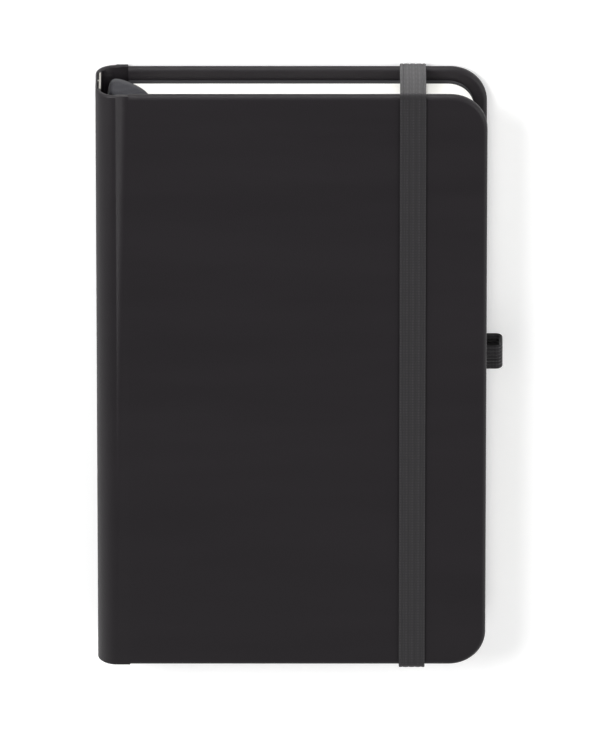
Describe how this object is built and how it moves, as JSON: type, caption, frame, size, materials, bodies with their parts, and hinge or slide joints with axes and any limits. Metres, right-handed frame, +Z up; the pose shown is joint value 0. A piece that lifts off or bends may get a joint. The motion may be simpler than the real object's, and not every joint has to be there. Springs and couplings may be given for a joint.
{
  "type": "pocket notebook",
  "caption": "Hard-cover pocket notebook with sewn sections, ribbon bookmark, elastic strap, back pocket and pen loop.",
  "frame": {"origin": "centre of the back cover's outer face, which lies on the table", "axes": "+X from the spine to the fore-edge, +Y to the head, +Z up to the front cover"},
  "size_m": [0.0938, 0.1474, 0.0181],
  "materials": {
    "leather": "smooth matt black leatherette, faint grain",
    "grey_board": "uncoated grey board",
    "endpaper": "smooth charcoal endpaper",
    "pages": "smooth ivory writing paper",
    "cloth": "fine book cloth",
    "gauze": "open cotton gauze",
    "thread": "linen thread",
    "ribbon": "satin ribbon",
    "elastic": "ribbed woven elastic"
  },
  "bodies": {
    "back_cover": {"back_leather": "leather", "back_board": "grey_board", "back_pastedown": "endpaper", "pocket_gusset": "cloth", "pocket_panel": "endpaper", "back_flyleaf": "endpaper", "section_01": "pages", "section_02": "pages", "section_03": "pages", "section_04": "pages", "section_05": "pages", "section_06": "pages", "section_07": "pages", "section_08": "pages", "section_09": "pages", "section_10": "pages", "section_11": "pages", "sewing_thread": "thread", "spine_gauze": "gauze", "ribbon_head": "ribbon", "pen_loop_tab": "elastic"},
    "spine": {"spine_leather": "leather", "spine_card": "grey_board"},
    "front_cover": {"front_leather": "leather", "front_board": "grey_board", "front_pastedown": "endpaper"},
    "front_flyleaf": {"front_flyleaf": "endpaper"},
    "turned_section": {"section_12": "pages"},
    "bookmark": {"ribbon_tail": "ribbon"},
    "elastic_strap": {"elastic_strap": "elastic"},
    "pen_loop": {"pen_loop": "elastic"}
  },
  "joints": [
    {"name": "cover_open", "type": "hinge", "parent": "spine", "child": "front_cover", "pos_m": [-0.045, 0, 0.013], "axis": [0, -1, 0], "range_deg": [0, 160]},
    {"name": "spine_lean", "type": "hinge", "parent": "back_cover", "child": "spine", "pos_m": [-0.045, 0, 0.0045], "axis": [0, -1, 0], "range_deg": [0, 26]},
    {"name": "flyleaf_turn", "type": "hinge", "parent": "back_cover", "child": "front_flyleaf", "pos_m": [-0.0416, 0, 0.01463], "axis": [0, -1, 0], "range_deg": [0, 188]},
    {"name": "section_turn", "type": "hinge", "parent": "back_cover", "child": "turned_section", "pos_m": [-0.0416, 0, 0.01463], "axis": [0, -1, 0], "range_deg": [0, 187]},
    {"name": "strap_release", "type": "hinge", "parent": "back_cover", "child": "elastic_strap", "pos_m": [0.0279, 0, 0.00875], "axis": [0, 1, 0], "range_deg": [0, 215], "deforming": ["elastic_strap"]},
    {"name": "bookmark_swing", "type": "hinge", "parent": "back_cover", "child": "bookmark", "pos_m": [-0.0348, 0.0587, 0.0134], "axis": [0, 0, 1], "range_deg": [0, 25]},
    {"name": "pen_loop_flex", "type": "hinge", "parent": "back_cover", "child": "pen_loop", "pos_m": [0.0451, 0, 0.00255], "axis": [0, 1, 0], "range_deg": [0, 20]}
  ],
  "couplings": [
    {"joint": "spine_lean", "follows": "cover_open", "ratio": 0.15625},
    {"joint": "flyleaf_turn", "follows": "cover_open", "ratio": 1.1687},
    {"joint": "section_turn", "follows": "cover_open", "ratio": 1.1625},
    {"joint": "strap_release", "follows": "cover_open", "ratio": 1.125}
  ]
}
